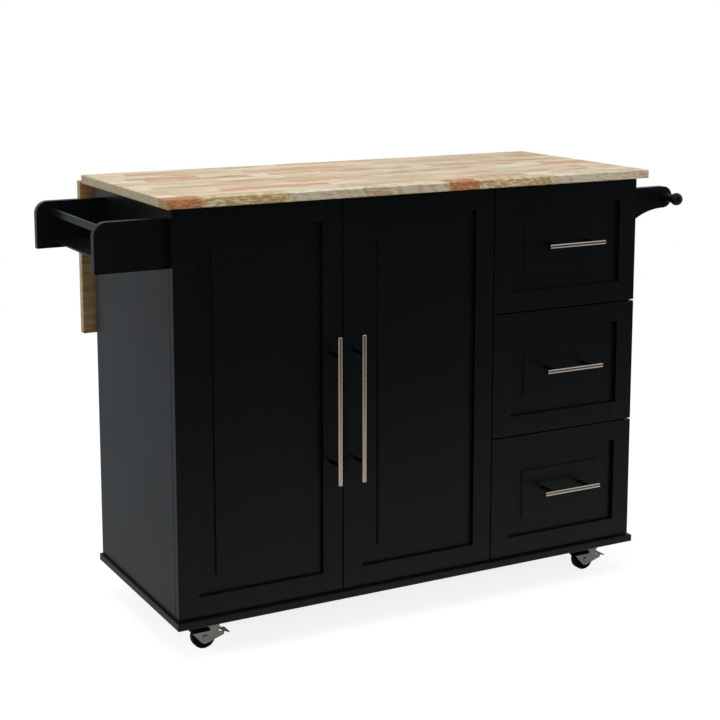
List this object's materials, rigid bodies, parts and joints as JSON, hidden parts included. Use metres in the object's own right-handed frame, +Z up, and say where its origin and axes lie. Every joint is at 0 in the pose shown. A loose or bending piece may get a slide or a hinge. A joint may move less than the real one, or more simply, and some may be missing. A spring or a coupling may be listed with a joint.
{
  "type": "kitchen cart",
  "caption": "Black kitchen cart on casters with a butcher block top, a rear drop leaf, two doors, drawers, a side spice rack and a towel rail.",
  "frame": {"origin": "on the floor, under the middle of the whole cart's outer box", "axes": "+X to the right as seen from the fronts, +Y from the fronts to the back, +Z up"},
  "size_m": [1.3704, 0.5456, 0.92],
  "materials": {
    "black_paint": "satin black paint on board",
    "black_laminate": "black foil on particle board",
    "butcher_block": "oiled finger-jointed rubber wood",
    "brushed_nickel": "brushed nickel",
    "zinc_steel": "zinc plated pressed steel",
    "caster_rubber": "black moulded wheel"
  },
  "bodies": {
    "cart": {"base_board": "black_paint", "left_side_panel": "black_paint", "right_side_panel": "black_paint", "centre_divider": "black_laminate", "back_panel": "black_laminate", "top_stretchers": "black_laminate", "cupboard_shelf": "black_laminate", "shelf_pins": "zinc_steel", "worktop": "butcher_block", "leaf_hinge_fixed_plates": "zinc_steel", "leaf_wall_strips": "zinc_steel", "door_hinge_arms": "zinc_steel", "drawer_slide_rails": "zinc_steel", "spice_rack_ends": "black_paint", "spice_rack_rail": "black_paint", "spice_rack_floor": "black_paint", "towel_brackets": "black_paint", "towel_bar": "black_paint", "caster_plates": "zinc_steel"},
    "left_door": {"left_door_frame": "black_paint", "left_door_panel": "black_paint", "left_door_pull": "brushed_nickel", "left_door_hinge_cups": "zinc_steel"},
    "right_door": {"right_door_frame": "black_paint", "right_door_panel": "black_paint", "right_door_pull": "brushed_nickel", "right_door_hinge_cups": "zinc_steel"},
    "top_drawer": {"top_drawer_front_frame": "black_paint", "top_drawer_front_panel": "black_paint", "top_drawer_pull": "brushed_nickel", "top_drawer_box": "black_laminate", "top_drawer_bottom": "black_laminate", "top_drawer_slide_members": "zinc_steel"},
    "middle_drawer": {"middle_drawer_front_frame": "black_paint", "middle_drawer_front_panel": "black_paint", "middle_drawer_pull": "brushed_nickel", "middle_drawer_box": "black_laminate", "middle_drawer_bottom": "black_laminate", "middle_drawer_slide_members": "zinc_steel"},
    "bottom_drawer": {"bottom_drawer_front_frame": "black_paint", "bottom_drawer_front_panel": "black_paint", "bottom_drawer_pull": "brushed_nickel", "bottom_drawer_box": "black_laminate", "bottom_drawer_bottom": "black_laminate", "bottom_drawer_slide_members": "zinc_steel"},
    "leaf": {"drop_leaf": "butcher_block", "leaf_hinge_moving_plates": "zinc_steel", "leaf_arm_strips": "zinc_steel"},
    "leaf_brace_pair": {"leaf_braces": "zinc_steel"},
    "front_left_fork": {"front_left_caster_fork": "zinc_steel"},
    "front_left_wheel": {"front_left_caster_wheel": "caster_rubber"},
    "front_left_pedal": {"front_left_brake_pedal": "zinc_steel"},
    "front_right_fork": {"front_right_caster_fork": "zinc_steel"},
    "front_right_wheel": {"front_right_caster_wheel": "caster_rubber"},
    "front_right_pedal": {"front_right_brake_pedal": "zinc_steel"},
    "back_left_fork": {"back_left_caster_fork": "zinc_steel"},
    "back_left_wheel": {"back_left_caster_wheel": "caster_rubber"},
    "back_right_fork": {"back_right_caster_fork": "zinc_steel"},
    "back_right_wheel": {"back_right_caster_wheel": "caster_rubber"}
  },
  "joints": [
    {"name": "left_door_swing", "type": "hinge", "parent": "cart", "child": "left_door", "pos_m": [-0.53375, -0.22177, 0.49335], "axis": [0, 0, -1], "range_deg": [0, 100]},
    {"name": "right_door_swing", "type": "hinge", "parent": "cart", "child": "right_door", "pos_m": [0.17625, -0.22177, 0.49335], "axis": [0, 0, 1], "range_deg": [0, 90]},
    {"name": "top_drawer_slide", "type": "slide", "parent": "cart", "child": "top_drawer", "axis": [0, -1, 0], "range_m": [0, 0.3]},
    {"name": "middle_drawer_slide", "type": "slide", "parent": "cart", "child": "middle_drawer", "axis": [0, -1, 0], "range_m": [0, 0.3]},
    {"name": "bottom_drawer_slide", "type": "slide", "parent": "cart", "child": "bottom_drawer", "axis": [0, -1, 0], "range_m": [0, 0.3]},
    {"name": "leaf_swing", "type": "hinge", "parent": "cart", "child": "leaf", "pos_m": [0.00725, 0.25148, 0.8987], "axis": [1, 0, 0], "range_deg": [0, 90]},
    {"name": "leaf_brace_swing", "type": "hinge", "parent": "leaf", "child": "leaf_brace_pair", "pos_m": [0.00725, 0.24277, 0.7687], "axis": [1, 0, 0], "range_deg": [-142, 0]},
    {"name": "front_left_swivel", "type": "hinge", "parent": "cart", "child": "front_left_fork", "pos_m": [-0.45275, -0.16828, 0.0627], "axis": [0, 0, 1], "continuous": true},
    {"name": "front_left_wheel_spin", "type": "hinge", "parent": "front_left_fork", "child": "front_left_wheel", "pos_m": [-0.46475, -0.16828, 0.025], "axis": [0, 1, 0], "continuous": true},
    {"name": "front_left_brake", "type": "hinge", "parent": "front_left_fork", "child": "front_left_pedal", "pos_m": [-0.44375, -0.16828, 0.047], "axis": [0, -1, 0], "range_deg": [0, 25]},
    {"name": "front_right_swivel", "type": "hinge", "parent": "cart", "child": "front_right_fork", "pos_m": [0.48475, -0.16828, 0.0627], "axis": [0, 0, 1], "continuous": true},
    {"name": "front_right_wheel_spin", "type": "hinge", "parent": "front_right_fork", "child": "front_right_wheel", "pos_m": [0.47275, -0.16828, 0.025], "axis": [0, 1, 0], "continuous": true},
    {"name": "front_right_brake", "type": "hinge", "parent": "front_right_fork", "child": "front_right_pedal", "pos_m": [0.49375, -0.16828, 0.047], "axis": [0, -1, 0], "range_deg": [0, 25]},
    {"name": "back_left_swivel", "type": "hinge", "parent": "cart", "child": "back_left_fork", "pos_m": [-0.45275, 0.15172, 0.0627], "axis": [0, 0, 1], "continuous": true},
    {"name": "back_left_wheel_spin", "type": "hinge", "parent": "back_left_fork", "child": "back_left_wheel", "pos_m": [-0.46475, 0.15172, 0.025], "axis": [0, 1, 0], "continuous": true},
    {"name": "back_right_swivel", "type": "hinge", "parent": "cart", "child": "back_right_fork", "pos_m": [0.48475, 0.15172, 0.0627], "axis": [0, 0, 1], "continuous": true},
    {"name": "back_right_wheel_spin", "type": "hinge", "parent": "back_right_fork", "child": "back_right_wheel", "pos_m": [0.47275, 0.15172, 0.025], "axis": [0, 1, 0], "continuous": true}
  ],
  "couplings": [
    {"joint": "leaf_brace_swing", "follows": "leaf_swing", "ratio": -1.577}
  ]
}
